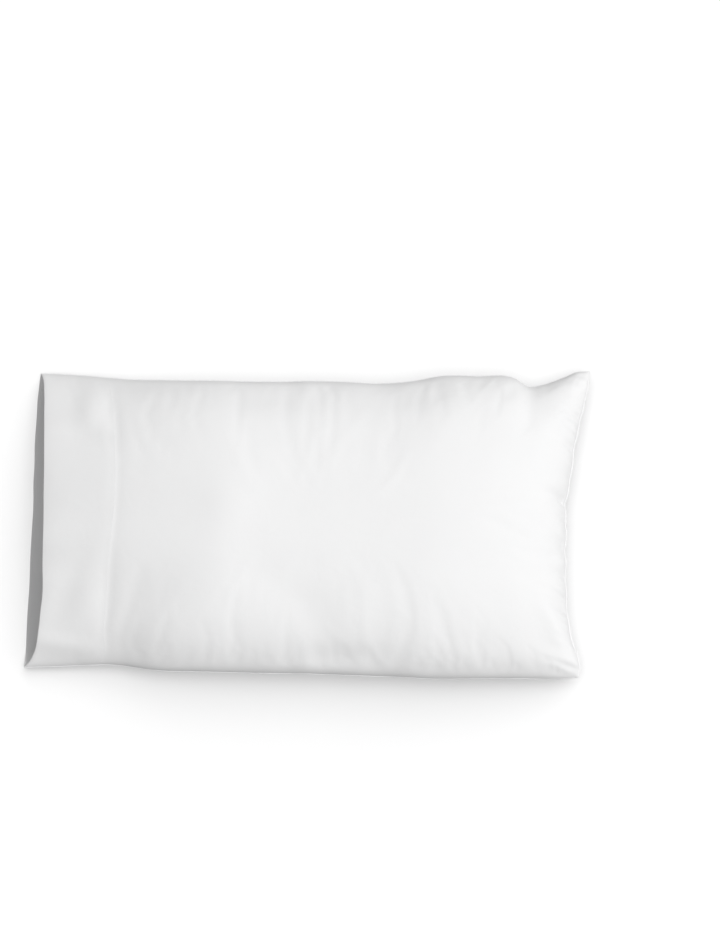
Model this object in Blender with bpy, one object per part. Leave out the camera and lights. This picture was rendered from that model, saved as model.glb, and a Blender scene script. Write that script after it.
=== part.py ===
# A king-size pillowcase with a wide hem, drawn over a full pillow and lying on its back.
# The open mouth is at -X, the sewn end at +X, and the front of the case faces +Z.
# Everything is in metres, and the case rests on the plane z = 0.
#
# The case is one cloth, so it is one solid. Two shares place every point of it:
# "along" runs from 0 at the mouth to 1 at the sewn end, and "across" from -1 at one
# long side seam to +1 at the other.

import bpy
import bmesh
import math
import numpy as np

# Heights over the surface that the case lies on
CROWN_HEIGHT = 0.150         # top of the crown
SIDE_SEAM_HEIGHT = 0.057     # side seam beside the crown
MOUTH_SEAM_HEIGHT = 0.016    # side seam at the mouth
EAR_HEIGHT = 0.040           # seam at the two sewn corners
END_SEAM_RISE = 0.009        # how much higher the end seam is in its middle

# How the pillow fills the case. The shares are of the case's length, from the mouth.
SEAM_RISEN = 0.35            # from the mouth, the side seam has risen by here
SEAM_FALLS = 0.70            # and from here it falls to the sewn corners
MOUTH_FULLNESS = 0.80        # the arch at the mouth, against the crown's
CROWN_STARTS = 0.18          # the arch has its full height from here
CROWN_EASE = 2.0             # power of its rise from the mouth to there
END_POWER = 10.0             # a larger power keeps it full closer to the sewn end
END_ROUNDNESS = 0.54         # half is a round end, 1 a wedge
SIDES_ROUND_BY = 0.28        # the sides have their full roundness from here
MOUTH_ARCH = (2.4, 0.72)     # power and roundness of the section at the mouth
CROWN_ARCH = (2.7, 0.56)     # and beside the crown
UNDERSIDE_ARCH = (2.6, 0.60)
UNDERSIDE_SINK = 0.017       # unpressed, the underside would reach this far below z = 0

# The cloth and its hem
CLOTH_THICKNESS = 0.0022     # double cloth of the hem around the hollow mouth
SEAM_ALLOWANCE = 0.010       # turned-in cloth beside the seams, inside the mouth
HEM_STEP = 0.0014            # the doubled hem stands over the single cloth by this
HEM_STEP_SHARE = 0.0035      # the step's width, as a share of the length
GROOVE_DEPTH = 0.0022        # the stitched line pulls the cloth in by this
GROOVE_SHARE = 0.010         # and over this share of the length

# The pillow's end, seen at the bottom of the mouth
PILLOW_END = 0.112           # where it starts, as a share of the length
PILLOW_END_CURVE = 0.030     # it lies this much deeper near the side seams
PILLOW_END_BULGE = 0.014     # and swells this far towards the mouth

# Mesh resolution
ALONG_STEPS = 50             # rows of faces from the hem's stitched line to the sewn end
HEM_STEPS = 8                # rows of faces on the hem band
ACROSS_STEPS = 38            # rows of faces across
END_CROWDING = 0.80          # 1 crowds the rows at the seams, 0 spaces them evenly
PILLOW_END_STEPS = 4         # rows of faces from the top to the bottom of the pillow's end
WELD_DISTANCE = 0.00001
SHARP_ANGLE = math.radians(50)

CLOTH_COLOUR = (0.86, 0.86, 0.865, 1.0)
CLOTH_ROUGHNESS = 0.88

# The two long side seams: distance from the middle line on either side. The upper one
# dips where the filling ends and runs out into the ear.
SIDES = {
    "along": (0.00, 0.05, 0.11, 0.16, 0.23, 0.32, 0.42, 0.51, 0.61,
              0.68, 0.72, 0.79, 0.86, 0.885, 0.91, 0.95, 0.975, 1.00),
    "lower": (0.241, 0.240, 0.238, 0.238, 0.247, 0.250, 0.252, 0.253, 0.256,
              0.258, 0.260, 0.260, 0.259, 0.259, 0.259, 0.259, 0.258, 0.255),
    "upper": (0.251, 0.249, 0.244, 0.239, 0.236, 0.234, 0.233, 0.235, 0.232,
              0.237, 0.245, 0.246, 0.244, 0.231, 0.234, 0.247, 0.257, 0.259),
}

# The mouth: how far the front and the back hem edge stand from the middle of the case.
# The front is drawn in over the pillow, so the back shows beyond it.
MOUTH = {
    "across": (-1.00, -0.975, -0.92, -0.75, -0.56, -0.30, 0.10, 0.44, 0.70, 0.85, 0.975, 1.00),
    "front": (0.469, 0.462, 0.453, 0.444, 0.438, 0.437, 0.437, 0.438, 0.440, 0.442, 0.447, 0.450),
    "back": (0.469, 0.469, 0.468, 0.467, 0.465, 0.463, 0.460, 0.459, 0.457, 0.455, 0.451, 0.450),
}

# The stitched line of the hem, as a share of the length.
HEM_LINE = {
    "across": (-1.00, -0.85, -0.60, -0.30, 0.00, 0.27, 0.50, 0.75, 1.00),
    "along": (0.134, 0.124, 0.121, 0.124, 0.132, 0.134, 0.131, 0.126, 0.118),
}

# The sewn end, drawn in between its two corners.
SEWN_END = {
    "across": (-1.00, -0.92, -0.74, -0.53, -0.04, 0.12, 0.28, 0.55, 0.72, 0.92, 1.00),
    "reach": (0.445, 0.446, 0.432, 0.426, 0.426, 0.427, 0.434, 0.445, 0.456, 0.467, 0.469),
}

# Soft folds of the front: middle (x, y), half length, half width, turn in degrees, height.
FOLDS = (
    (-0.280, -0.122, 0.075, 0.045, 20, -0.0062),   # hollow beside the hem line
    (-0.134, 0.016, 0.070, 0.045, 80, 0.0045),     # swelling left of the middle
    (-0.078, 0.200, 0.100, 0.026, -3, -0.0065),    # hollows along the upper side seam
    (0.145, 0.202, 0.080, 0.024, 4, -0.0035),
    (0.214, 0.215, 0.018, 0.014, 60, -0.0040),     # dimples where the upper seam pulls
    (0.332, 0.219, 0.024, 0.011, 40, -0.0035),
    (0.416, 0.226, 0.060, 0.014, 28, 0.0025),      # ridge that runs out to the upper ear
    (0.050, -0.229, 0.066, 0.017, 2, -0.0090),     # fold along the lower side seam
    (0.405, -0.180, 0.054, 0.017, -62, 0.0080),    # ridge beside the lower ear
    (-0.364, 0.186, 0.022, 0.040, 0, 0.0045),      # swelling of the hem near its upper seam
    (-0.372, 0.137, 0.042, 0.018, -10, -0.0035),   # slack places on the hem
    (-0.401, -0.133, 0.060, 0.022, 70, -0.0030),
    (-0.312, -0.205, 0.042, 0.026, 40, -0.0025),
    (-0.405, -0.208, 0.060, 0.016, -10, 0.0060),   # ridge over the hem's lower seam
    (-0.029, -0.136, 0.110, 0.035, -42, -0.0035),  # long shallow fold to the lower seam
)

# Gathers at the sewn end: place across (y), how far they reach in, width and depth.
GATHERS = (
    (0.209, 0.026, 0.012, 0.0035),
    (0.175, 0.030, 0.012, 0.0040),
    (0.124, 0.034, 0.012, 0.0045),
    (0.073, 0.024, 0.013, 0.0035),
    (0.030, 0.038, 0.011, 0.0090),
    (-0.002, 0.024, 0.011, 0.0035),
    (-0.045, 0.036, 0.013, 0.0060),
    (-0.094, 0.026, 0.013, 0.0040),
    (-0.143, 0.032, 0.014, 0.0045),
)
GATHER_SLANT = 0.25          # a gather drifts sideways by this share of its way in
GATHER_START = 0.006         # it deepens over this distance from the seam

# The relief on the front fades out over these stretches, so that both sheets meet in the seam.
SIDE_FADE_POWER = 8
END_FADE_SHARE = 0.02


def remove_everything():
    for old in list(bpy.data.objects):
        bpy.data.objects.remove(old, do_unlink=True)


def read_curve(table, column, at):
    """Smooth curve through one column of a table: cubic pieces between its rows."""
    first = next(iter(table))
    knots = np.array(table[first])
    values = np.array(table[column])
    slopes = np.gradient(values, knots)
    piece = np.clip(np.searchsorted(knots, at) - 1, 0, len(knots) - 2)
    width = knots[piece + 1] - knots[piece]
    t = (at - knots[piece]) / width
    start = (1 + 2 * t) * (1 - t) ** 2 * values[piece] + t * (1 - t) ** 2 * width * slopes[piece]
    end = t * t * (3 - 2 * t) * values[piece + 1] + t * t * (t - 1) * width * slopes[piece + 1]
    return start + end


def ease(share):
    """0 to 1 with a flat start and a flat end."""
    share = np.clip(share, 0.0, 1.0)
    return share * share * (3 - 2 * share)


def plan(along, across, side, inset=0.0):
    """X and Y of a point of one sheet, front or back; inset draws it in from the side seams."""
    mouth = -read_curve(MOUTH, side, across)
    x = mouth + (read_curve(SEWN_END, "reach", across) - mouth) * along
    upper = read_curve(SIDES, "upper", along) - inset
    lower = read_curve(SIDES, "lower", along) - inset
    y = -lower + (upper + lower) * (across + 1) / 2
    return x, y


def seam_height(along, across):
    """Height of the seam round the case, carried across the plan between its two sides."""
    rise = ease(along / SEAM_RISEN)
    fall = ease((along - SEAM_FALLS) / (1 - SEAM_FALLS))
    side = MOUTH_SEAM_HEIGHT + (SIDE_SEAM_HEIGHT - MOUTH_SEAM_HEIGHT) * rise
    side = side + (EAR_HEIGHT - SIDE_SEAM_HEIGHT) * fall
    return side + END_SEAM_RISE * (1 - across ** 4) * along ** 4


def rounded(share, power, roundness):
    """1 in the middle and 0 at a share of 1, with a steep round edge where roundness is low."""
    return np.clip(1 - np.abs(share) ** power, 0, 1) ** roundness


def arch_along(along):
    """How full the case is along its length: lower at the mouth, closed at the sewn end."""
    before_crown = np.clip(1 - along / CROWN_STARTS, 0, 1)
    mouth = 1 - (1 - MOUTH_FULLNESS) * before_crown ** CROWN_EASE
    return mouth * rounded(along, END_POWER, END_ROUNDNESS)


def arch_across(along, across):
    """How full it is across: a flat arch at the mouth, rounder sides beside the crown."""
    full = ease(along / SIDES_ROUND_BY)
    power = MOUTH_ARCH[0] + (CROWN_ARCH[0] - MOUTH_ARCH[0]) * full
    roundness = MOUTH_ARCH[1] + (CROWN_ARCH[1] - MOUTH_ARCH[1]) * full
    return rounded(across, power, roundness)


def fold_height(x, y):
    """Sum of the soft folds, each a stretched and turned bell."""
    total = np.zeros_like(x)
    for middle_x, middle_y, half_length, half_width, turn, height in FOLDS:
        angle = math.radians(turn)
        lengthways = (x - middle_x) * math.cos(angle) + (y - middle_y) * math.sin(angle)
        sideways = (y - middle_y) * math.cos(angle) - (x - middle_x) * math.sin(angle)
        total = total + height * np.exp(-(lengthways / half_length) ** 2 - (sideways / half_width) ** 2)
    return total


def gather_depth(x, y, across):
    """Depth of the gathers, each a valley that runs in from the sewn end and fades out."""
    inward = read_curve(SEWN_END, "reach", across) - x
    start = 1 - np.exp(-np.clip(inward, 0, None) / GATHER_START)
    total = np.zeros_like(x)
    for place, reach, width, depth in GATHERS:
        sideways = y - place - GATHER_SLANT * inward
        total = total + depth * np.exp(-(sideways / width) ** 2) * np.exp(-(inward / reach) ** 2)
    return total * start


def hem_relief(along, across):
    """The doubled hem stands over the cloth, and its stitched line is a shallow groove."""
    line = read_curve(HEM_LINE, "along", across)
    step = HEM_STEP * (1 - ease((along - line) / HEM_STEP_SHARE))
    groove = GROOVE_DEPTH * np.exp(-((along - line) / GROOVE_SHARE) ** 2)
    return step - groove


def front_height(along, across, x, y):
    """Z of the front of the case."""
    fullness = arch_along(along) * arch_across(along, across)
    height = seam_height(along, across) + (CROWN_HEIGHT - SIDE_SEAM_HEIGHT) * fullness
    fade = (1 - across ** SIDE_FADE_POWER) * np.clip((1 - along) / END_FADE_SHARE, 0, 1)
    relief = fold_height(x, y) - gather_depth(x, y, across) + hem_relief(along, across)
    return height + relief * fade


def back_height(along, across):
    """Z of the back of the case: round beside the seams and flat where it rests."""
    seam = seam_height(along, across)
    fullness = rounded(across, *UNDERSIDE_ARCH) * rounded(along, END_POWER, END_ROUNDNESS)
    return np.clip(seam - (seam + UNDERSIDE_SINK) * fullness, 0, None)


def front_sheet(along, across):
    x, y = plan(along, across, "front")
    return np.stack((x, y, front_height(along, across, x, y)), axis=-1)


def back_sheet(along, across):
    x, y = plan(along, across, "back")
    return np.stack((x, y, back_height(along, across)), axis=-1)


def wall_height(height, y):
    """Upright measure of the cloth's thickness where its section is sloping."""
    slope = np.gradient(height, axis=1) / np.gradient(y, axis=1)
    return CLOTH_THICKNESS * np.sqrt(1 + np.clip(slope, -2, 2) ** 2)


def mouth_walls(along, across):
    """Inner faces of the front and the back hem; they meet in a point beside each seam."""
    half_width = (read_curve(SIDES, "upper", along) + read_curve(SIDES, "lower", along)) / 2
    drawn_in = across * (1 - SEAM_ALLOWANCE / half_width)
    front_x, y = plan(along, across, "front", SEAM_ALLOWANCE)
    back_x, y = plan(along, across, "back", SEAM_ALLOWANCE)
    top = front_height(along, drawn_in, front_x, y)
    bottom = back_height(along, drawn_in)
    top = top - wall_height(top, y)
    bottom = bottom + wall_height(bottom, y)
    middle = (top + bottom) / 2
    half_gap = (top - bottom) / 2 * np.sqrt(np.clip(1 - across ** 16, 0, 1))
    front = np.stack((front_x, y, middle + half_gap), axis=-1)
    back = np.stack((back_x, y, middle - half_gap), axis=-1)
    return front, back


def pillow_end(top_row, bottom_row, across):
    """The swelling end of the pillow, between the last rows of the two inner faces."""
    down = np.linspace(0, 1, PILLOW_END_STEPS + 1)[:, None]
    rows = top_row[None] * (1 - down[..., None]) + bottom_row[None] * down[..., None]
    rows[..., 0] -= PILLOW_END_BULGE * 4 * down * (1 - down) * (1 - across[None] ** 2)
    return rows


def crowded(count, crowding):
    """Shares from 0 to 1, closer together at both ends."""
    even = np.linspace(0, 1, count + 1)
    return (1 - crowding) * even + crowding * (0.5 - 0.5 * np.cos(math.pi * even))


def along_rows(across):
    """Share of the length for each row of points, with rows on both edges of the hem's step."""
    line = read_curve(HEM_LINE, "along", across)[None]
    band = np.linspace(0, 1, HEM_STEPS + 1)[:, None] * line
    rest = line + HEM_STEP_SHARE
    even = np.linspace(0, 1, ALONG_STEPS + 1)
    opened = (1 - END_CROWDING) * even + END_CROWDING * np.sin(even * math.pi / 2)
    body = rest + (1 - rest) * opened[:, None]
    return np.concatenate((band, body))


def add_grid(mesh, points, outward_up):
    """Triangles over a grid of points; their diagonals run out into the case's corners."""
    rows, columns = points.shape[:2]
    corners = [mesh.verts.new(point) for point in points.reshape(-1, 3)]
    for row in range(rows - 1):
        for column in range(columns - 1):
            near_left = corners[row * columns + column]
            near_right = corners[row * columns + column + 1]
            far_left = corners[(row + 1) * columns + column]
            far_right = corners[(row + 1) * columns + column + 1]
            if column < columns // 2:
                triangles = ((near_left, far_left, near_right), (far_left, far_right, near_right))
            else:
                triangles = ((near_left, far_left, far_right), (near_left, far_right, near_right))
            for triangle in triangles:
                mesh.faces.new(triangle if outward_up else triangle[::-1])


def make_case():
    """The whole case: front, back, the two hem walls inside the mouth and the pillow's end."""
    across = 2 * crowded(ACROSS_STEPS, END_CROWDING) - 1
    along = along_rows(across)
    spread = np.broadcast_to(across, along.shape)
    front = front_sheet(along, spread)
    back = back_sheet(along, spread)

    deepest = PILLOW_END + PILLOW_END_CURVE * across ** 4
    inside = np.linspace(0, 1, HEM_STEPS + 1)[:, None] * deepest[None]
    front_wall, back_wall = mouth_walls(inside, np.broadcast_to(across, inside.shape))

    shell = bmesh.new()
    add_grid(shell, front, True)
    add_grid(shell, back, False)
    add_grid(shell, front_wall, False)
    add_grid(shell, back_wall, True)
    add_grid(shell, np.stack((front[0], front_wall[0])), False)
    add_grid(shell, np.stack((back[0], back_wall[0])), True)
    add_grid(shell, pillow_end(front_wall[-1], back_wall[-1], across), False)
    bmesh.ops.remove_doubles(shell, verts=shell.verts, dist=WELD_DISTANCE)
    return shell


def centre_on_origin(shell):
    """Move the mesh so that the middle of its plan is at the origin."""
    points = np.array([vertex.co[:] for vertex in shell.verts])
    middle = (points.max(axis=0) + points.min(axis=0)) / 2
    bmesh.ops.translate(shell, verts=shell.verts, vec=(-middle[0], -middle[1], 0))


def cotton():
    material = bpy.data.materials.new("white_cotton")
    material.use_nodes = True
    shader = material.node_tree.nodes["Principled BSDF"]
    shader.inputs["Base Color"].default_value = CLOTH_COLOUR
    shader.inputs["Roughness"].default_value = CLOTH_ROUGHNESS
    shader.inputs["Metallic"].default_value = 0.0
    return material


def main():
    remove_everything()
    shell = make_case()
    centre_on_origin(shell)
    mesh = bpy.data.meshes.new("pillowcase")
    shell.to_mesh(mesh)
    shell.free()
    mesh.materials.append(cotton())
    mesh.shade_smooth()
    mesh.set_sharp_from_angle(angle=SHARP_ANGLE)
    case = bpy.data.objects.new("pillowcase", mesh)
    bpy.context.scene.collection.objects.link(case)


main()
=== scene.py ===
# A king-size pillowcase with a wide hem, drawn over a full pillow and lying on its back.
# The open mouth is at -X, the sewn end at +X and the front faces +Z, all in metres.

import bpy
import bmesh
import math
import numpy as np
from mathutils import Matrix, Vector


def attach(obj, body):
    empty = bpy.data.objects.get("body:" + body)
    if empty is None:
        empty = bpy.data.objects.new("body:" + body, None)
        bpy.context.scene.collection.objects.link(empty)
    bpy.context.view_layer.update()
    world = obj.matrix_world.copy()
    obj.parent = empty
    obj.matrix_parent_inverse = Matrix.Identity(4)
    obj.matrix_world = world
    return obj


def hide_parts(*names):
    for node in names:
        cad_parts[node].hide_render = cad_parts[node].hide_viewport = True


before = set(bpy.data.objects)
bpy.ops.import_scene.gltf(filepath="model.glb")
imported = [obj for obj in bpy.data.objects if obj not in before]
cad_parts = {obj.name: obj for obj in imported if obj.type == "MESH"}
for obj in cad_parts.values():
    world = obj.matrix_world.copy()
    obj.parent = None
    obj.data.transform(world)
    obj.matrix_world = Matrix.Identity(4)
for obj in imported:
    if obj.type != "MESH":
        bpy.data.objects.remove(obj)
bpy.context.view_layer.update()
print("frame loaded:", ", ".join(sorted(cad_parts)))


# The filled case. Two shares place every point of it: "along" runs from 0 at the mouth
# to 1 at the sewn end, "across" from -1 at the lower side seam to +1 at the upper one.
caseShape = {
    "crownHeight": 0.150,           # top of the crown over the surface it lies on
    "sideSeamHeight": 0.057,        # side seam beside the crown
    "mouthSeamHeight": 0.016,       # side seam at the mouth
    "earHeight": 0.040,             # seam at the two sewn corners
    "endSeamRise": 0.009,           # how much higher the end seam is in its middle
    "seamRisen": 0.35,              # shares of the length: the side seam has risen by here
    "seamFalls": 0.70,              # and falls to the corners from here
    "mouthFullness": 0.80,          # arch at the mouth against the crown's
    "crownStarts": 0.18,
    "crownEase": 2.0,
    "endPower": 10.0,               # larger keeps it full closer to the sewn end
    "endRoundness": 0.54,
    "sidesRoundBy": 0.28,
    "mouthArch": (2.4, 0.72),       # power and roundness of a section
    "crownArch": (2.7, 0.56),
    "undersideArch": (2.6, 0.60),
    "undersideSink": 0.017,         # unpressed, the underside would reach this far down
    "clothThickness": 0.0022,       # doubled hem round the mouth
    "seamAllowance": 0.004,         # the hem's inner faces end this far inside the seams
    "hemStep": 0.0008,              # the doubled hem stands over the single cloth
    "hemStepShare": 0.0060,         # how wide that step is, as a share of the length
    "grooveDepth": 0.0016,          # the stitched line pulls the cloth in
    "grooveShare": 0.012,
    "sideLip": 0.0014,              # flat lip that the turned seams make
    "endLip": 0.0026,
    "lipThickness": 0.0024,
    "foldsFadeOver": 0.006,         # the main folds start this far inside the end's lip
    "reliefFadesOver": 0.004,       # and everything finer this far
    "hemCreasing": 0.4,             # the doubled hem keeps this share of the creasing,
    "hemCreasesTo": 0.10,           # up to this share of the length,
    "hemCreasesOver": 0.07,         # and the cloth has all of it after this one more
}

# The two long side seams: distance from the middle line on either side.
sideSeams = {
    "along": (0.00, 0.05, 0.11, 0.16, 0.23, 0.32, 0.42, 0.51, 0.61,
              0.68, 0.72, 0.79, 0.86, 0.885, 0.91, 0.95, 0.975, 1.00),
    "lower": (0.241, 0.240, 0.238, 0.238, 0.247, 0.250, 0.252, 0.253, 0.256,
              0.258, 0.260, 0.260, 0.259, 0.259, 0.259, 0.259, 0.258, 0.255),
    "upper": (0.251, 0.249, 0.244, 0.239, 0.236, 0.234, 0.233, 0.235, 0.232,
              0.237, 0.245, 0.246, 0.244, 0.231, 0.234, 0.247, 0.257, 0.259),
}

# How far the front and the back hem edge stand from the middle of the case.
mouthEdges = {
    "across": (-1.00, -0.975, -0.92, -0.75, -0.56, -0.30, 0.10, 0.44, 0.70, 0.85, 0.975, 1.00),
    "front": (0.469, 0.462, 0.453, 0.444, 0.438, 0.437, 0.437, 0.438, 0.440, 0.442, 0.447, 0.450),
    "back": (0.469, 0.469, 0.468, 0.467, 0.465, 0.463, 0.460, 0.459, 0.457, 0.455, 0.451, 0.450),
}

# The stitched line of the hem, as a share of the length.
hemLine = {
    "across": (-1.00, -0.85, -0.60, -0.30, 0.00, 0.27, 0.50, 0.75, 1.00),
    "along": (0.134, 0.124, 0.121, 0.124, 0.132, 0.134, 0.131, 0.126, 0.118),
}

# The sewn end, drawn in between its two corners.
sewnEnd = {
    "across": (-1.00, -0.92, -0.74, -0.53, -0.04, 0.12, 0.28, 0.55, 0.72, 0.92, 1.00),
    "reach": (0.445, 0.446, 0.432, 0.426, 0.426, 0.427, 0.434, 0.445, 0.456, 0.467, 0.469),
}

# Soft folds of the front: middle x and y, half length, half width, turn in degrees, height.
mainFolds = (
    (-0.280, -0.122, 0.075, 0.045, 20, -0.0062),    # hollow beside the hem line
    (-0.334, -0.125, 0.055, 0.022, 86, -0.0030),    # and along the line's lower half
    (-0.134, 0.016, 0.070, 0.045, 80, 0.0045),      # swelling left of the middle
    (-0.078, 0.200, 0.100, 0.026, -3, -0.0065),     # hollows along the upper side seam
    (0.145, 0.202, 0.080, 0.024, 4, -0.0035),
    (0.214, 0.215, 0.018, 0.014, 60, -0.0040),      # dimples where the upper seam pulls
    (0.332, 0.219, 0.024, 0.011, 40, -0.0035),
    (0.416, 0.226, 0.060, 0.014, 28, 0.0025),       # ridge that runs out to the upper ear
    (0.050, -0.229, 0.066, 0.017, 2, -0.0090),      # fold along the lower side seam
    (0.405, -0.180, 0.054, 0.017, -62, 0.0080),     # ridge beside the lower ear
    (-0.364, 0.186, 0.022, 0.040, 0, 0.0045),       # swelling of the hem near its upper seam
    (-0.372, 0.137, 0.042, 0.018, -10, -0.0035),    # slack places on the hem
    (-0.401, -0.133, 0.060, 0.022, 70, -0.0030),
    (-0.312, -0.205, 0.042, 0.026, 40, -0.0025),
    (-0.405, -0.208, 0.060, 0.016, -10, 0.0060),    # ridge over the hem's lower seam
    (-0.029, -0.136, 0.110, 0.035, -42, -0.0035),   # long shallow fold to the lower seam
    (0.398, -0.060, 0.016, 0.006, 8, -0.0030),      # dimples beside the sewn end
    (0.429, 0.158, 0.007, 0.011, 20, -0.0022),
    (0.405, 0.143, 0.012, 0.010, -30, -0.0016),
    (0.362, 0.156, 0.010, 0.012, 0, -0.0012),
)

# Gathers at the sewn end: place across (y), reach inwards, width and depth.
endGathers = (
    (0.209, 0.036, 0.012, 0.0035),
    (0.175, 0.044, 0.012, 0.0045),
    (0.124, 0.050, 0.012, 0.0050),
    (0.073, 0.036, 0.013, 0.0035),
    (0.030, 0.056, 0.011, 0.0095),
    (-0.002, 0.036, 0.011, 0.0040),
    (-0.045, 0.052, 0.013, 0.0065),
    (-0.094, 0.038, 0.013, 0.0045),
    (-0.143, 0.046, 0.014, 0.0050),
)

# Small puckers that the sewing leaves beside the seams.
puckers = {
    "gatherSlant": 0.25,        # a gather drifts sideways by this share of its way in
    "gatherStart": 0.006,
    "gatherPull": 0.40,         # share of its depth by which a gather draws the seam in
    "gatherPullReach": 0.015,
    "gatherShare": {"front": 1.0, "back": 0.5},     # the underside's gathers are half as deep
    "waveStart": {"front": 0.0, "back": 2.6},       # so that the two sheets pucker unlike
    "lipEase": 0.003,           # the puckers grow from nothing at the lip over this
    "sidePitch": 0.026,         # distance from one pucker to the next
    "sideHeight": 0.0009,
    "sideReach": 0.022,
    "endPitch": 0.018,
    "endHeight": 0.0024,
    "endReach": 0.045,
    "seamSway": 0.0020,         # the seam itself rises and falls by this
    "seamSwayPitch": 0.085,
    "seamSwayReach": 0.030,
    "endSwayPitch": 0.0595,     # the end seam's own, which is closer
    "hemSway": 0.0016,          # and so does the hem's free edge
    "hemSwayPitch": 0.120,
    "hemSwayReach": 0.060,
    "hemSwayStart": {"front": 0.9, "back": 3.1},
    "hemDroop": 0.0032,         # the front hem's edge hangs by this
    "hemDroopReach": 0.014,
}


def readCurve(table, column, at):
    # Cubic pieces through the table's rows, with each row's slope taken from its neighbours.
    knots = np.array(next(iter(table.values())))
    values = np.array(table[column])
    slopes = np.gradient(values, knots)
    piece = np.clip(np.searchsorted(knots, at) - 1, 0, len(knots) - 2)
    width = knots[piece + 1] - knots[piece]
    t = (at - knots[piece]) / width
    start = (1 + 2 * t) * (1 - t) ** 2 * values[piece] + t * (1 - t) ** 2 * width * slopes[piece]
    end = t * t * (3 - 2 * t) * values[piece + 1] + t * t * (t - 1) * width * slopes[piece + 1]
    return start + end


def ease(share):
    # 3 s squared less 2 s cubed: 0 to 1 with a flat start and a flat end.
    share = np.clip(share, 0.0, 1.0)
    return share * share * (3 - 2 * share)


def rounded(share, power, roundness):
    # (1 less |share| to a power) to the roundness: 1 in the middle, 0 at a share of 1.
    return np.clip(1 - np.abs(share) ** power, 0, 1) ** roundness


def halfWidth(along):
    # Mean of the two seams' distances from the middle line.
    return (readCurve(sideSeams, "upper", along) + readCurve(sideSeams, "lower", along)) / 2


def lengthAt(across):
    # From the back hem's edge to the sewn end.
    return readCurve(sewnEnd, "reach", across) + readCurve(mouthEdges, "back", across)


def plan(along, across, side):
    # x runs straight from the hem edge to the sewn end, y straight from seam to seam.
    mouth = -readCurve(mouthEdges, side, across)
    x = mouth + (readCurve(sewnEnd, "reach", across) - mouth) * along
    upper = readCurve(sideSeams, "upper", along)
    lower = readCurve(sideSeams, "lower", along)
    return x, -lower + (upper + lower) * (across + 1) / 2


def seamHeight(along, across):
    # Rises from the mouth, falls to the sewn corners, and is higher in the end's middle.
    c = caseShape
    rise = ease(along / c["seamRisen"])
    fall = ease((along - c["seamFalls"]) / (1 - c["seamFalls"]))
    side = c["mouthSeamHeight"] + (c["sideSeamHeight"] - c["mouthSeamHeight"]) * rise
    side = side + (c["earHeight"] - c["sideSeamHeight"]) * fall
    return side + c["endSeamRise"] * (1 - across ** 4) * along ** 4


def insideLips(along, across):
    # Both shares stretched so that they reach 1 where the flat lip of the seam begins.
    alongIn = np.clip(along / (1 - caseShape["endLip"] / lengthAt(across)), 0, 1)
    acrossIn = np.clip(across / (1 - caseShape["sideLip"] / halfWidth(along)), -1, 1)
    return alongIn, acrossIn


def lipHalf(along, across):
    # Half the lip's thickness, rounded off to nothing at the very edge of the seam.
    onEnd = 1 - (1 - along) * lengthAt(across) / caseShape["endLip"]
    onSide = 1 - (1 - np.abs(across)) * halfWidth(along) / caseShape["sideLip"]
    out = np.clip(np.maximum(onEnd, onSide), 0, 1)
    return caseShape["lipThickness"] / 2 * np.sqrt(1 - out ** 6)


def archAlong(along):
    # Lower at the mouth, full from the crown on, and closed at the sewn end.
    before = np.clip(1 - along / caseShape["crownStarts"], 0, 1)
    mouth = 1 - (1 - caseShape["mouthFullness"]) * before ** caseShape["crownEase"]
    return mouth * rounded(along, caseShape["endPower"], caseShape["endRoundness"])


def archAcross(along, across):
    # A flat arch at the mouth turns into rounder sides beside the crown.
    full = ease(along / caseShape["sidesRoundBy"])
    power = caseShape["mouthArch"][0] * (1 - full) + caseShape["crownArch"][0] * full
    roundness = caseShape["mouthArch"][1] * (1 - full) + caseShape["crownArch"][1] * full
    return rounded(across, power, roundness)


def foldHeight(x, y):
    # Sum of stretched and turned bells: height times e to the minus squared distance.
    total = np.zeros_like(x)
    for midX, midY, halfLength, foldWidth, turn, height in mainFolds:
        c, s = math.cos(math.radians(turn)), math.sin(math.radians(turn))
        lengthways = (x - midX) * c + (y - midY) * s
        sideways = (y - midY) * c - (x - midX) * s
        distance = (lengthways / halfLength) ** 2 + (sideways / foldWidth) ** 2
        total = total + height * np.exp(-distance)
    return total


def gatherDepth(y, fromSeam):
    # Each gather is a valley: a bell across it and a bell away from the seam.
    total = np.zeros_like(y)
    for place, reach, width, depth in endGathers:
        sideways = y - place - puckers["gatherSlant"] * fromSeam
        total = total + depth * np.exp(-(sideways / width) ** 2 - (fromSeam / reach) ** 2)
    return total


def unevenWave(place, pitch, start):
    # A cosine whose spacing and strength drift slowly along the seam.
    turns = place / pitch
    drift = 1.1 * np.sin(1.3 * turns + start) + 0.7 * np.sin(2.9 * turns + 2.3 * start)
    strength = 0.60 + 0.40 * np.sin(0.83 * turns + 1.7 * start)
    return strength * np.cos(2 * math.pi * turns + drift)


def hemStiffness(along):
    # The doubled hem creases less than half as much as the single cloth.
    c = caseShape
    single = ease((along - c["hemCreasesTo"]) / c["hemCreasesOver"])
    return c["hemCreasing"] + (1 - c["hemCreasing"]) * single


def besideSeam(fromSeam, reach):
    # 0 at the seam's lip, close to 1 just inside it, and then a bell that fades inwards.
    return (1 - np.exp(-fromSeam / puckers["lipEase"])) * np.exp(-(fromSeam / reach) ** 2)


def seamPuckers(x, y, fromSide, fromEnd, start):
    # Uneven waves along each seam, a little slanted, that start at its lip and fade inwards.
    p = puckers
    side = p["sideHeight"] * unevenWave(x + 0.3 * fromSide, p["sidePitch"], start)
    end = p["endHeight"] * unevenWave(y - 0.3 * fromEnd, p["endPitch"], start + 0.8)
    return side * besideSeam(fromSide, p["sideReach"]) + end * besideSeam(fromEnd, p["endReach"])


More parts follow.
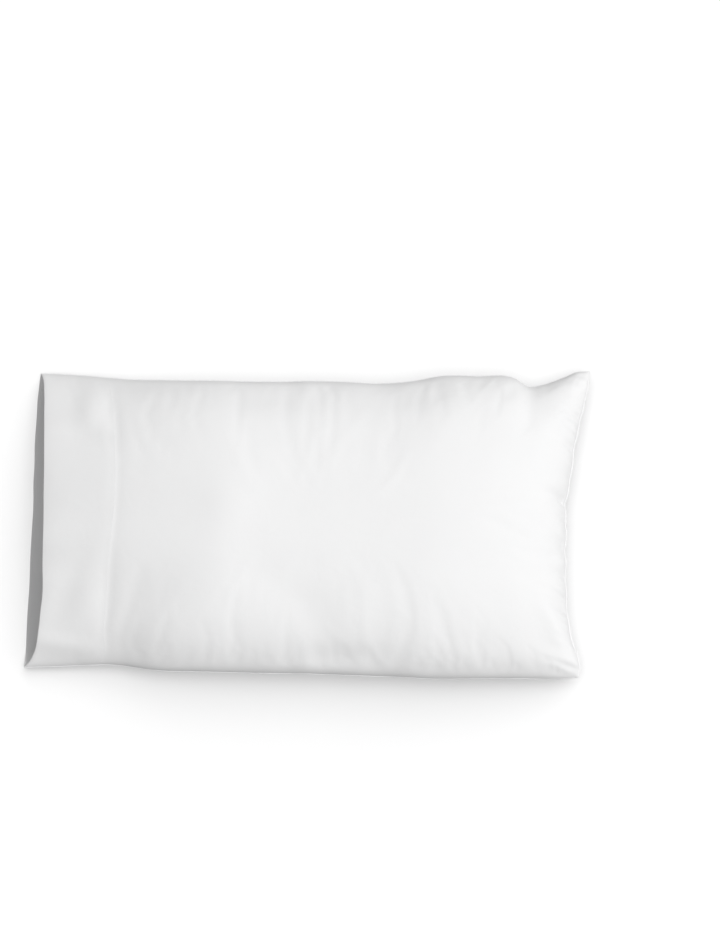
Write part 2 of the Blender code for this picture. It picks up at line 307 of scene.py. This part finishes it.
def seamSway(x, y, gapSide, gapEnd):
    # The seam's own rise and fall, which both sheets share and which fades inwards, and
    # the pull of the gathers on it.
    p = puckers
    side = unevenWave(x, p["seamSwayPitch"], 0.4) * np.exp(-gapSide / p["seamSwayReach"])
    end = unevenWave(y, p["endSwayPitch"], 1.9) * np.exp(-gapEnd / p["seamSwayReach"])
    pull = p["gatherPull"] * gatherDepth(y, 0 * y) * np.exp(-gapEnd / p["gatherPullReach"])
    rise = p["seamSway"] * (side + end)
    return np.stack((-pull, 0 * pull, rise), axis=-1)


def hemSway(y, fromMouth, across, side):
    # The free edge of the hem waves a little, up and down and in and out. The front one
    # droops over the last of its way; the back one lies on its support and only lifts.
    p = puckers
    start = p["hemSwayStart"][side]
    rise = p["hemSway"] * unevenWave(y, p["hemSwayPitch"], start)
    out = 0.6 * p["hemSway"] * unevenWave(y, p["hemSwayPitch"] * 0.8, start + 1.3)
    if side == "back":
        rise = 0.5 * (p["hemSway"] + rise)
    fade = np.exp(-fromMouth / p["hemSwayReach"]) * (1 - across ** 8)
    rise, out = rise * fade, out * fade
    if side == "front":
        droop = p["hemDroop"] * np.exp(-fromMouth / p["hemDroopReach"])
        rise = rise - droop * (1 - across ** 16)
    return np.stack((out, 0 * out, rise), axis=-1)


def hemRelief(along, across):
    # The doubled hem stands a step higher, and its stitched line is a shallow groove that
    # is deeper towards the side seams.
    line = readCurve(hemLine, "along", across)
    step = caseShape["hemStep"] * (1 - ease((along - line) / caseShape["hemStepShare"]))
    pull = caseShape["grooveDepth"] * (0.45 + 0.55 * np.abs(across) ** 1.5)
    return step - pull * np.exp(-((along - line) / caseShape["grooveShare"]) ** 2)


def fullHeight(along, across, side):
    # Height of one sheet with no fine relief: the seam's height, plus or less the arch.
    c = caseShape
    alongIn, acrossIn = insideLips(along, across)
    seam, lip = seamHeight(along, across), lipHalf(along, across)
    if side == "front":
        full = archAlong(alongIn) * archAcross(alongIn, acrossIn)
        return seam + lip + (c["crownHeight"] - c["sideSeamHeight"]) * full
    full = rounded(acrossIn, *c["undersideArch"])
    full = full * rounded(alongIn, c["endPower"], c["endRoundness"])
    return seam - lip - (seam + c["undersideSink"]) * full


def plainSheet(along, across, side):
    # The sheet with its main folds alone, which the simulation starts from.
    x, y = plan(along, across, side)
    z = fullHeight(along, across, side)
    if side == "front":
        pastLip = np.clip((1 - along) * lengthAt(across) - caseShape["endLip"], 0, None)
        inside = np.clip(pastLip / caseShape["foldsFadeOver"], 0, 1)
        z = z + foldHeight(x, y) * (1 - across ** 8) * inside
    return np.stack((x, y, np.clip(z, 0, None)), axis=-1)


def outwardOf(along, across, side):
    # The cross product of the sheet's two directions, each from two points close by.
    step = 0.0015
    ahead, behind = np.clip(along + step, 0, 1), np.clip(along - step, 0, 1)
    right, left = np.clip(across + step, -1, 1), np.clip(across - step, -1, 1)
    lengthways = plainSheet(ahead, across, side) - plainSheet(behind, across, side)
    sideways = plainSheet(along, right, side) - plainSheet(along, left, side)
    way = np.cross(lengthways, sideways)
    if side == "back":
        way = -way
    return way / (np.linalg.norm(way, axis=-1, keepdims=True) + 1e-12)


# The pressure run that gives the cloth its own small creases.
pressureRun = {
    "rows": 150,
    "columns": 88,
    "pressure": 4.0,
    "growth": 0.020,        # the cloth grows by this share, so it puckers between its seams
    "frames": 20,
    "quality": 5,
    "stretchStiffness": 12,
    "bendStiffness": 0.2,
    "evenPasses": 90,       # passes of smoothing; what is left over them is the creasing
    "cap": 0.005,           # no point moves further than about this
    "frontMiddle": 0.26,    # share of the creasing that the front keeps in its middle
    "frontSides": 0.38,     # and beside its seams
    "back": 0.85,
    "sideFade": 12,         # the creasing is whole a twelfth of the half width inside the
    "endFade": 20,          # sides, and a twentieth of the length from the mouth and the end
}


def addPiece(mesh):
    # An object at the origin, named after its mesh.
    piece = bpy.data.objects.new(mesh.name, mesh)
    bpy.context.scene.collection.objects.link(piece)
    return piece


def gridFaces(rows, columns, first, outwardUp):
    # Four corners for each cell of a grid whose points are numbered row by row.
    at = first + np.arange(rows * columns).reshape(rows, columns)
    quads = np.stack((at[:-1, :-1], at[1:, :-1], at[1:, 1:], at[:-1, 1:]), axis=-1).reshape(-1, 4)
    return quads if outwardUp else quads[:, ::-1]


def smoothed(values, passes):
    # Each pass averages a point with its four neighbours; the grid's edge stays on itself.
    for _ in range(passes):
        padded = np.pad(values, ((1, 1), (1, 1), (0, 0)), mode="edge")
        around = padded[:-2, 1:-1] + padded[2:, 1:-1] + padded[1:-1, :-2] + padded[1:-1, 2:]
        values = 0.5 * values + 0.125 * around
    return values


def clothCreases():
    # Fills the plain case with pressure, and returns for each sheet how far every point of a
    # coarse grid moved, less the smooth part of that, which would change the outline.
    p = pressureRun
    along, across = np.meshgrid(np.linspace(0, 1, p["rows"]), np.linspace(-1, 1, p["columns"]),
                                indexing="ij")
    sheets = [plainSheet(along, across, side) for side in ("front", "back")]
    count = along.size
    points = np.concatenate([sheet.reshape(-1, 3) for sheet in sheets])
    ids = np.arange(2 * count).reshape(2, p["rows"], p["columns"])
    ids[1, :, 0], ids[1, :, -1], ids[1, -1, :] = ids[0, :, 0], ids[0, :, -1], ids[0, -1, :]
    faces = np.concatenate((gridFaces(p["rows"], p["columns"], 0, True),
                            gridFaces(p["rows"], p["columns"], count, False)))
    faces = ids.reshape(-1)[faces]
    used, faces = np.unique(faces, return_inverse=True)
    mesh = bpy.data.meshes.new("pressureRun")
    mesh.from_pydata(points[used].tolist(), [], faces.reshape(-1, 4).tolist())
    case = addPiece(mesh)

    atEdge = (np.abs(across) > 0.999) | (along > 0.999) | (along < 0.001)
    resting = (sheets[1][..., 2] < 1e-4) | atEdge
    held = np.concatenate((atEdge.reshape(-1), resting.reshape(-1)))[used]
    case.vertex_groups.new(name="held").add(np.flatnonzero(held).tolist(), 1.0, "REPLACE")
    cloth = case.modifiers.new("pressureRun", "CLOTH")
    cloth.settings.use_pressure = True
    cloth.settings.uniform_pressure_force = p["pressure"]
    cloth.settings.effector_weights.gravity = 0
    cloth.settings.vertex_group_mass = "held"
    cloth.settings.shrink_min = -p["growth"]
    cloth.settings.quality = p["quality"]
    cloth.settings.tension_stiffness = p["stretchStiffness"]
    cloth.settings.compression_stiffness = p["stretchStiffness"]
    cloth.settings.bending_stiffness = p["bendStiffness"]
    cloth.collision_settings.use_collision = False
    cloth.point_cache.frame_end = p["frames"]
    for number in range(1, p["frames"] + 1):
        bpy.context.scene.frame_set(number)
    filled = case.evaluated_get(bpy.context.evaluated_depsgraph_get()).data
    after = np.empty(3 * len(used), dtype=np.float32)
    filled.vertices.foreach_get("co", after)
    moved = np.zeros_like(points)
    moved[used] = after.reshape(-1, 3) - points[used]
    bpy.data.objects.remove(case, do_unlink=True)
    bpy.data.meshes.remove(mesh)
    bpy.context.scene.frame_set(1)

    moved = moved[ids]
    nearEdge = np.minimum((1 - np.abs(across)) * p["sideFade"], (1 - along) * p["endFade"])
    fade = (ease(nearEdge) * ease(along * p["endFade"]) * hemStiffness(along))[..., None]
    frontShare = p["frontMiddle"] + (p["frontSides"] - p["frontMiddle"]) * np.abs(across) ** 3
    creases = []
    for sheet, share in zip(moved, (frontShare, p["back"] + 0 * across)):
        crease = (sheet - smoothed(sheet, p["evenPasses"])) * fade * share[..., None]
        size = np.linalg.norm(crease, axis=-1, keepdims=True) + 1e-9
        creases.append(crease * np.tanh(size / p["cap"]) * p["cap"] / size)
    mostMoved = np.linalg.norm(moved, axis=-1).max()
    deepest = max(np.abs(crease).max() for crease in creases)
    print("pressure run: largest move %.1f mm, largest crease %.1f mm"
          % (1000 * mostMoved, 1000 * deepest))
    return {"front": creases[0], "back": creases[1]}


def cubicWeights(t):
    # Weights of four neighbours for a smooth curve between the middle two.
    return np.stack((-0.5 * t + t ** 2 - 0.5 * t ** 3, 1 - 2.5 * t ** 2 + 1.5 * t ** 3,
                     0.5 * t + 2 * t ** 2 - 1.5 * t ** 3, -0.5 * t ** 2 + 0.5 * t ** 3))


def readGrid(values, along, across):
    # A value between the points of a coarse grid, from its sixteen neighbours.
    rows, columns = values.shape[:2]
    row, column = along * (rows - 1), (across + 1) / 2 * (columns - 1)
    firstRow = np.clip(np.floor(row), 0, rows - 2).astype(int)
    firstColumn = np.clip(np.floor(column), 0, columns - 2).astype(int)
    rowWeights, columnWeights = cubicWeights(row - firstRow), cubicWeights(column - firstColumn)
    total = np.zeros(along.shape + (3,))
    for i in range(4):
        for j in range(4):
            nearRow = np.clip(firstRow + i - 1, 0, rows - 1)
            nearColumn = np.clip(firstColumn + j - 1, 0, columns - 1)
            weight = (rowWeights[i] * columnWeights[j])[..., None]
            total = total + weight * values[nearRow, nearColumn]
    return total


creases = None
creases = clothCreases()


def caseSheet(along, across, side):
    # One finished sheet, front or back: the plain one, moved outwards by everything finer
    # than its folds, then by the seam's and the hem's sway and the creases of the cloth.
    plain = plainSheet(along, across, side)
    x, y, z = plain[..., 0], plain[..., 1], plain[..., 2]
    gapEnd = (1 - along) * lengthAt(across)
    gapSide = (1 - np.abs(across)) * halfWidth(along)
    pastEndLip = np.clip(gapEnd - caseShape["endLip"], 0, None)
    pastSideLip = np.clip(gapSide - caseShape["sideLip"], 0, None)
    rise = z - seamHeight(along, across)
    fromEnd, fromSide = np.hypot(pastEndLip, rise), np.hypot(pastSideLip, rise)
    start = 1 - np.exp(-pastEndLip / puckers["gatherStart"])
    gathers = gatherDepth(y, fromEnd) * start * puckers["gatherShare"][side]
    waves = seamPuckers(x, y, fromSide, fromEnd, puckers["waveStart"][side])
    relief = hemRelief(along, across) - gathers + hemStiffness(along) * waves
    fade = (1 - across ** 8) * np.clip(pastEndLip / caseShape["reliefFadesOver"], 0, 1)
    points = plain + outwardOf(along, across, side) * (relief * fade)[..., None]
    points = points + seamSway(x, y, gapSide, gapEnd) * ease(along * 6)[..., None]
    points = points + hemSway(y, along * lengthAt(across), across, side)
    if creases:
        points = points + readGrid(creases[side], along, across)
    points[..., 2] = np.clip(points[..., 2], 0, None)
    return points


# Rows and columns of the finished mesh.
caseMesh = {
    "acrossSteps": 150,
    "sideLipSteps": 3,
    "hemSteps": 24,
    "hemStepRows": 2,
    "bodySteps": 190,
    "endLipSteps": 4,
    "wallSteps": 20,
    "rimSteps": 4,
    "pillowEndSteps": 20,
    "crowding": 0.96,           # 1 crowds the rows at the seams, 0 spaces them evenly
    "lipColumnsAt": 0.246,      # half width that places the columns on the side seams' lips
    "merge": 0.00001,           # points closer than this become one
    "pillowEnd": 0.112,         # where the pillow's end starts, as a share of the length
    "pillowEndCurve": 0.030,
    "pillowEndBulge": 0.019,
    "pillowEndDown": (2, 0.6),      # power and roundness of its arches
    "pillowEndAcross": (6, 0.8),
    "pillowEndWaves": 0.10,         # share of the bulge
    "pillowEndPitch": 0.11,
}


def acrossShares():
    # Even steps pushed towards both seams by a cosine, with a few steps on each lip.
    m = caseMesh
    even = np.linspace(0, 1, m["acrossSteps"] + 1)
    body = (1 - m["crowding"]) * even + m["crowding"] * (0.5 - 0.5 * np.cos(math.pi * even))
    lip = 1 - caseShape["sideLip"] / m["lipColumnsAt"]
    body = (2 * body - 1) * lip
    outer = np.linspace(lip, 1, m["sideLipSteps"] + 1)[1:]
    return np.concatenate((-outer[::-1], body, outer))


def alongShares(across):
    # Rows of the hem, two on its step, then the body's, crowded at the end, and the lip's.
    m = caseMesh
    line = readCurve(hemLine, "along", across)[None]
    band = np.linspace(0, 1, m["hemSteps"] + 1)[:, None] * line
    step = line + np.linspace(0, 1, m["hemStepRows"] + 1)[1:, None] * caseShape["hemStepShare"]
    lip = (1 - caseShape["endLip"] / lengthAt(across))[None]
    even = np.linspace(0, 1, m["bodySteps"] + 1)[1:]
    opened = ((1 - m["crowding"]) * even + m["crowding"] * np.sin(even * math.pi / 2))[:, None]
    body = step[-1:] + (lip - step[-1:]) * opened
    outer = lip + np.linspace(0, 1, m["endLipSteps"] + 1)[1:, None] * (1 - lip)
    return np.concatenate((band, step, body, outer))


def mouthWalls(along, across):
    # The hem's inner faces: the outer ones less the cloth, squeezed together at the seams.
    drawnIn = across * (1 - caseShape["seamAllowance"] / halfWidth(along))
    walls = {}
    for side, way in (("front", -1), ("back", 1)):
        wall = caseSheet(along, drawnIn, side)
        slope = np.gradient(wall[..., 2], axis=1) / np.gradient(wall[..., 1], axis=1)
        wall[..., 2] += way * caseShape["clothThickness"] * np.sqrt(1 + np.clip(slope, -2, 2) ** 2)
        wall[..., 0] = plan(along, across, side)[0]
        walls[side] = wall
    middle = ((walls["front"] + walls["back"]) / 2)[..., 1:]
    apart = np.sqrt(np.clip(1 - across ** 16, 0, 1))[..., None]
    for wall in walls.values():
        wall[..., 1:] = middle + (wall[..., 1:] - middle) * apart
    return walls["front"], walls["back"]


def rim(outer, inner):
    # A half round from the outer to the inner face of the hem, bulging out of the mouth.
    turn = math.pi * np.linspace(0, 1, caseMesh["rimSteps"] + 1)[:, None, None]
    rows = outer * (0.5 + 0.5 * np.cos(turn)) + inner * (0.5 - 0.5 * np.cos(turn))
    rows[..., 0] -= caseShape["clothThickness"] / 2 * np.sin(turn[..., 0])
    return rows


def pillowEndRows(topRow, bottomRow, across):
    # From the front to the back wall, round as a pillow's end: the bulge is the product of
    # an arch downwards and one across, and a few soft waves run through it.
    m = caseMesh
    even = np.linspace(0, 1, m["pillowEndSteps"] + 1)[:, None]
    down = 0.5 - 0.5 * np.cos(math.pi * even)
    rows = topRow * (1 - down[..., None]) + bottomRow * down[..., None]
    arch = rounded(2 * down - 1, *m["pillowEndDown"]) * rounded(across, *m["pillowEndAcross"])
    slanted = rows[..., 1] + 0.4 * rows[..., 2]
    waves = m["pillowEndWaves"] * unevenWave(slanted, m["pillowEndPitch"], 0.7)
    rows[..., 0] -= m["pillowEndBulge"] * arch * (1 + waves)
    return rows


def flatCloth(grid, shift):
    # The cloth laid flat: u is the length along the grid's middle column, v the length
    # across its middle row, moved aside so that no two grids overlap.
    rows, columns = grid.shape[:2]
    lengths = []
    for line in (grid[:, columns // 2], grid[rows // 2]):
        steps = np.linalg.norm(np.diff(line, axis=0), axis=-1)
        lengths.append(np.concatenate(([0], np.cumsum(steps))))
    u, v = np.meshgrid(lengths[0], lengths[1] + shift, indexing="ij")
    return np.stack((u, v), axis=-1).reshape(-1, 2)


def buildCase():
    # All the grids of points, put side by side in one mesh and merged where they meet.
    across = acrossShares()
    along = alongShares(across)
    spread = np.broadcast_to(across, along.shape)
    front, back = caseSheet(along, spread, "front"), caseSheet(along, spread, "back")
    deepest = caseMesh["pillowEnd"] + caseMesh["pillowEndCurve"] * across ** 4
    inside = np.linspace(0, 1, caseMesh["wallSteps"] + 1)[:, None] * deepest
    frontWall, backWall = mouthWalls(inside, np.broadcast_to(across, inside.shape))
    grids = (
        (front, True, 0.0),
        (back, False, 0.6),
        (frontWall, False, 1.2),
        (backWall, True, 1.8),
        (rim(front[0], frontWall[0]), False, 2.4),
        (rim(back[0], backWall[0]), True, 3.0),
        (pillowEndRows(frontWall[-1], backWall[-1], across), False, 3.6),
    )
    points, faces, flat, first = [], [], [], 0
    for grid, outwardUp, shift in grids:
        rows, columns = grid.shape[:2]
        faces.append(gridFaces(rows, columns, first, outwardUp))
        points.append(grid.reshape(-1, 3))
        flat.append(flatCloth(grid, shift))
        first += rows * columns
    points, faces, flat = np.concatenate(points), np.concatenate(faces), np.concatenate(flat)

    mesh = bpy.data.meshes.new("pillowCaseCloth")
    mesh.from_pydata(points.tolist(), [], faces.tolist())
    layer = mesh.uv_layers.new(name="flatCloth")
    layer.data.foreach_set("uv", flat[faces.reshape(-1)].astype(np.float32).reshape(-1))
    shell = bmesh.new()
    shell.from_mesh(mesh)
    bmesh.ops.remove_doubles(shell, verts=shell.verts, dist=caseMesh["merge"])
    shell.to_mesh(mesh)
    openEdges = sum(1 for edge in shell.edges if len(edge.link_faces) != 2)
    shell.free()
    mesh.shade_smooth()
    print("case: %d faces, %d edges not closed" % (len(mesh.polygons), openEdges))
    return addPiece(mesh)


# The row of stitches that holds the hem.
hemStitch = {
    "length": 0.0025,
    "pitch": 0.0036,
    "width": 0.0007,
    "height": 0.0005,
    "sides": 6,
    "rings": 5,
    "reach": 0.985,         # the row stops short of the side seams, as a share of the half width
    "lift": 0.00005,        # off the cloth
}


def stitchTemplate():
    # A small grain: a circle carried along its length, shrinking almost to a point at both ends.
    s = hemStitch
    t = np.linspace(-1, 1, s["rings"])[:, None]
    turn = np.linspace(0, 2 * math.pi, s["sides"], endpoint=False)[None]
    thick = np.sqrt(1 - t ** 4 * 0.999)
    grain = np.stack((t * s["length"] / 2 + 0 * turn, thick * np.cos(turn) * s["width"] / 2,
                      thick * np.sin(turn) * s["height"] / 2), axis=-1).reshape(-1, 3)
    faces = []
    for ring in range(s["rings"] - 1):
        for k in range(s["sides"]):
            a, b = ring * s["sides"] + k, ring * s["sides"] + (k + 1) % s["sides"]
            faces.append((a, b, b + s["sides"], a + s["sides"]))
    top = (s["rings"] - 1) * s["sides"]
    caps = [tuple(range(s["sides"]))[::-1], tuple(range(top, top + s["sides"]))]
    return grain, faces, caps


def buildStitches():
    # Copies of one grain at even steps of length along the hem's line, laid to the cloth.
    grain, faces, caps = stitchTemplate()
    allPoints, allFaces = [], []
    for side, up in (("front", 1), ("back", -1)):
        across = np.linspace(-hemStitch["reach"], hemStitch["reach"], 1600)
        line = readCurve(hemLine, "along", across)
        row = caseSheet(line[None], across[None], side)[0]
        ahead = caseSheet(line[None] + 0.002, across[None], side)[0]
        run = np.concatenate(([0], np.cumsum(np.linalg.norm(np.diff(row, axis=0), axis=-1))))
        at = np.arange(hemStitch["pitch"], run[-1] - hemStitch["pitch"], hemStitch["pitch"])
        place, tangent, inward = (
            np.stack([np.interp(at, run, values[:, k]) for k in range(3)], axis=-1)
            for values in (row, np.gradient(row, run, axis=0), ahead - row))
        tangent /= np.linalg.norm(tangent, axis=-1, keepdims=True)
        outward = up * np.cross(inward, tangent)
        outward /= np.linalg.norm(outward, axis=-1, keepdims=True)
        sideways = np.cross(outward, tangent)
        axes = np.stack((tangent, sideways, outward), axis=1)
        place = place + hemStitch["lift"] * outward
        copies = np.einsum("pk,nkc->npc", grain, axes) + place[:, None]
        copies[..., 2] = np.clip(copies[..., 2], 0, None)
        first = sum(len(p) for p in allPoints)
        starts = first + np.arange(len(at)) * len(grain)
        for face in faces + caps:
            allFaces.extend((starts[:, None] + np.array(face)).tolist())
        allPoints.append(copies.reshape(-1, 3))
    mesh = bpy.data.meshes.new("hemStitches")
    mesh.from_pydata(np.concatenate(allPoints).tolist(), [], allFaces)
    shell = bmesh.new()
    shell.from_mesh(mesh)
    bmesh.ops.recalc_face_normals(shell, faces=shell.faces)
    shell.to_mesh(mesh)
    shell.free()
    mesh.shade_smooth()
    print("stitches: %d faces" % len(mesh.polygons))
    return addPiece(mesh)


# White cotton: plain weave, a faint mottle, and the soft creasing of washed cloth.
cottonLook = {
    "pale": (0.83, 0.83, 0.832, 1.0),
    "dull": (0.80, 0.80, 0.802, 1.0),
    "roughness": 0.85,
    "shine": 0.25,
    "sheen": 0.15,
    "mottleScale": 14.0,
    "threadPitch": 0.0007,
    "weaveDepth": 0.00006,
    "creaseScale": 45.0,
    "creaseDepth": 0.0006,
    "bumpStrength": 0.5,
}


def newMaterial(name, colour, roughness, shine):
    # A material with one plain shader, which the rest is linked to.
    material = bpy.data.materials.new(name)
    material.use_nodes = True
    shader = material.node_tree.nodes["Principled BSDF"]
    shader.inputs["Base Color"].default_value = colour
    shader.inputs["Roughness"].default_value = roughness
    shader.inputs["Specular IOR Level"].default_value = shine
    return material, shader


def cottonMaterial():
    # Two bumps, one over the other: the product of the warp's and the weft's bands, and
    # soft noise for the creasing. A slower noise mixes the two whites.
    look = cottonLook
    material, shader = newMaterial("whiteCotton", look["pale"], look["roughness"], look["shine"])
    nodes, links = material.node_tree.nodes, material.node_tree.links
    shader.inputs["Sheen Weight"].default_value = look["sheen"]
    shader.inputs["Sheen Roughness"].default_value = 0.5
    cloth = nodes.new("ShaderNodeUVMap")
    cloth.uv_map = "flatCloth"
    place = nodes.new("ShaderNodeTexCoord")

    mottle = nodes.new("ShaderNodeTexNoise")
    mottle.inputs["Scale"].default_value = look["mottleScale"]
    mottle.inputs["Detail"].default_value = 4.0
    links.new(place.outputs["Object"], mottle.inputs["Vector"])
    colour = nodes.new("ShaderNodeMix")
    colour.data_type = "RGBA"
    colour.inputs["A"].default_value = look["dull"]
    colour.inputs["B"].default_value = look["pale"]
    links.new(mottle.outputs["Fac"], colour.inputs["Factor"])
    links.new(colour.outputs["Result"], shader.inputs["Base Color"])

    # warp and weft: two sets of fine bands on the flat cloth, at right angles
    threads = []
    for direction in ("X", "Y"):
        wave = nodes.new("ShaderNodeTexWave")
        wave.bands_direction = direction
        wave.inputs["Scale"].default_value = 2 * math.pi / (20 * look["threadPitch"])
        wave.inputs["Distortion"].default_value = 0.6
        wave.inputs["Detail Scale"].default_value = 0.3
        links.new(cloth.outputs["UV"], wave.inputs["Vector"])
        threads.append(wave)
    weave = nodes.new("ShaderNodeMath")
    weave.operation = "MULTIPLY"
    links.new(threads[0].outputs["Fac"], weave.inputs[0])
    links.new(threads[1].outputs["Fac"], weave.inputs[1])
    weaveBump = nodes.new("ShaderNodeBump")
    weaveBump.inputs["Strength"].default_value = look["bumpStrength"]
    weaveBump.inputs["Distance"].default_value = look["weaveDepth"]
    links.new(weave.outputs[0], weaveBump.inputs["Height"])

    # faint creasing over the whole cloth
    crease = nodes.new("ShaderNodeTexNoise")
    crease.inputs["Scale"].default_value = look["creaseScale"]
    crease.inputs["Detail"].default_value = 3.0
    crease.inputs["Distortion"].default_value = 0.6
    links.new(place.outputs["Object"], crease.inputs["Vector"])
    creaseBump = nodes.new("ShaderNodeBump")
    creaseBump.inputs["Strength"].default_value = look["bumpStrength"]
    creaseBump.inputs["Distance"].default_value = look["creaseDepth"]
    links.new(crease.outputs["Fac"], creaseBump.inputs["Height"])
    links.new(weaveBump.outputs["Normal"], creaseBump.inputs["Normal"])
    links.new(creaseBump.outputs["Normal"], shader.inputs["Normal"])
    return material


pillowCase = buildCase()
pillowCase.data.materials.append(cottonMaterial())
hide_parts("pillowcase")
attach(pillowCase, "root")


# Twisted white thread.
threadLook = {
    "colour": (0.84, 0.84, 0.842, 1.0),
    "roughness": 0.7,
    "shine": 0.5,
    "sheen": 0.2,
    "twistScale": 600.0,
    "twistDepth": 0.0001,
    "bumpStrength": 0.4,
}


def threadMaterial():
    # Fine slanting bands as a bump.
    look = threadLook
    material, shader = newMaterial("whiteThread", look["colour"], look["roughness"], look["shine"])
    nodes, links = material.node_tree.nodes, material.node_tree.links
    shader.inputs["Sheen Weight"].default_value = look["sheen"]
    place = nodes.new("ShaderNodeTexCoord")
    twist = nodes.new("ShaderNodeTexWave")
    twist.bands_direction = "DIAGONAL"
    twist.inputs["Scale"].default_value = look["twistScale"]
    links.new(place.outputs["Object"], twist.inputs["Vector"])
    bump = nodes.new("ShaderNodeBump")
    bump.inputs["Strength"].default_value = look["bumpStrength"]
    bump.inputs["Distance"].default_value = look["twistDepth"]
    links.new(twist.outputs["Fac"], bump.inputs["Height"])
    links.new(bump.outputs["Normal"], shader.inputs["Normal"])
    return material


hemStitches = buildStitches()
hemStitches.data.materials.append(threadMaterial())
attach(hemStitches, "root")
print("cotton and thread done")


# Floor, lights and camera. A light is the way to it, its strength, and how wide it looks
# in degrees.
studio = {
    "floorColour": (0.90, 0.90, 0.90, 1.0),
    "floorHalf": 40.0,
    "floorHeight": -0.0004,
    "surround": 0.445,          # strength of the soft light from all round
    "surroundLean": (0.065, 0.0, 0.085),    # and how much stronger it is along each axis
    "keyLight": ((0.49, 0.08, 0.868), 2.12, 14),
    "floorLights": (            # for the floor alone, so that its shade can be set by itself
        ((0.0, 0.0, 1.0), 1.56, 60),
        ((0.28, 0.80, 0.53), 1.10, 60),
    ),
    "aim": (0.0814, 0.0791, 0.045),
    "pitch": 8.0,               # the camera leans towards -Y and -X by these degrees
    "yaw": 3.0,
    "distance": 4.383,
    "lens": 100.0,
}


def buildFloor():
    # One wide square, a hair below the case so that the two don't share a plane.
    mesh = bpy.data.meshes.new("studioFloor")
    half, height = studio["floorHalf"], studio["floorHeight"]
    corners = [(x * half, y * half, height) for x, y in ((-1, -1), (1, -1), (1, 1), (-1, 1))]
    mesh.from_pydata(corners, [], [(0, 1, 2, 3)])
    mesh.materials.append(newMaterial("paleFloor", studio["floorColour"], 1.0, 0.0)[0])
    floor = addPiece(mesh)
    floor.visible_diffuse = False    # a real one would throw its light back and flatten the case
    return floor


def addLight(name, light, lit):
    # A far light that shines from one direction, and only on what is named.
    way, strength, width = light
    data = bpy.data.lights.new(name, "SUN")
    data.energy = strength
    data.angle = math.radians(width)
    lamp = bpy.data.objects.new(name, data)
    bpy.context.scene.collection.objects.link(lamp)
    lamp.location = 3.0 * Vector(way)    # it shines the same from any distance
    lamp.rotation_euler = Vector(way).to_track_quat("Z", "Y").to_euler()
    group = bpy.data.collections.new(name + "Lit")
    for piece in lit:
        group.objects.link(piece)
    lamp.light_linking.receiver_collection = group


def surroundLight():
    # White to the camera. For everything else the surround's strength plus the dot product
    # of the direction and its lean, so it is stronger from above and from the sewn end.
    world = bpy.data.worlds.new("studioSurround")
    world.use_nodes = True
    nodes, links = world.node_tree.nodes, world.node_tree.links
    nodes.clear()
    soft, white = nodes.new("ShaderNodeBackground"), nodes.new("ShaderNodeBackground")
    way, strength = nodes.new("ShaderNodeTexCoord"), nodes.new("ShaderNodeMath")
    lean = nodes.new("ShaderNodeVectorMath")
    lean.operation = "DOT_PRODUCT"
    lean.inputs[1].default_value = studio["surroundLean"]
    strength.operation = "ADD"
    strength.inputs[1].default_value = studio["surround"]
    links.new(way.outputs["Generated"], lean.inputs[0])
    links.new(lean.outputs["Value"], strength.inputs[0])
    links.new(strength.outputs["Value"], soft.inputs["Strength"])
    white.inputs["Strength"].default_value = 1.0
    for background in (soft, white):
        background.inputs["Color"].default_value = (1.0, 1.0, 1.0, 1.0)
    seen, mix = nodes.new("ShaderNodeLightPath"), nodes.new("ShaderNodeMixShader")
    out = nodes.new("ShaderNodeOutputWorld")
    links.new(seen.outputs["Is Camera Ray"], mix.inputs["Fac"])
    links.new(soft.outputs["Background"], mix.inputs[1])
    links.new(white.outputs["Background"], mix.inputs[2])
    links.new(mix.outputs["Shader"], out.inputs["Surface"])
    bpy.context.scene.world = world


def buildCamera():
    # Stands back from its aim along a line leaned by the pitch and the yaw, and keeps +Y up.
    pitch, yaw = math.radians(studio["pitch"]), math.radians(studio["yaw"])
    level = math.cos(yaw)
    back = Vector((-math.sin(yaw), -math.sin(pitch) * level, math.cos(pitch) * level))
    up = Vector((0, 1, 0)) - back * back.y
    up.normalize()
    right = up.cross(back)
    data = bpy.data.cameras.new("photoCamera")
    data.lens = studio["lens"]
    data.sensor_width = 36.0
    data.clip_end = 200.0
    camera = bpy.data.objects.new("photoCamera", data)
    bpy.context.scene.collection.objects.link(camera)
    place = Vector(studio["aim"]) + back * studio["distance"]
    camera.matrix_world = Matrix((
        (right.x, up.x, back.x, place.x),
        (right.y, up.y, back.y, place.y),
        (right.z, up.z, back.z, place.z),
        (0, 0, 0, 1),
    ))
    bpy.context.scene.camera = camera


floor = buildFloor()
addLight("keyLight", studio["keyLight"], (pillowCase, hemStitches))
for number, light in enumerate(studio["floorLights"]):
    addLight("floorLight%d" % number, light, (floor,))
surroundLight()
buildCamera()
bpy.context.scene.view_settings.view_transform = "Standard"
bpy.context.scene.view_settings.look = "None"
print("studio done")
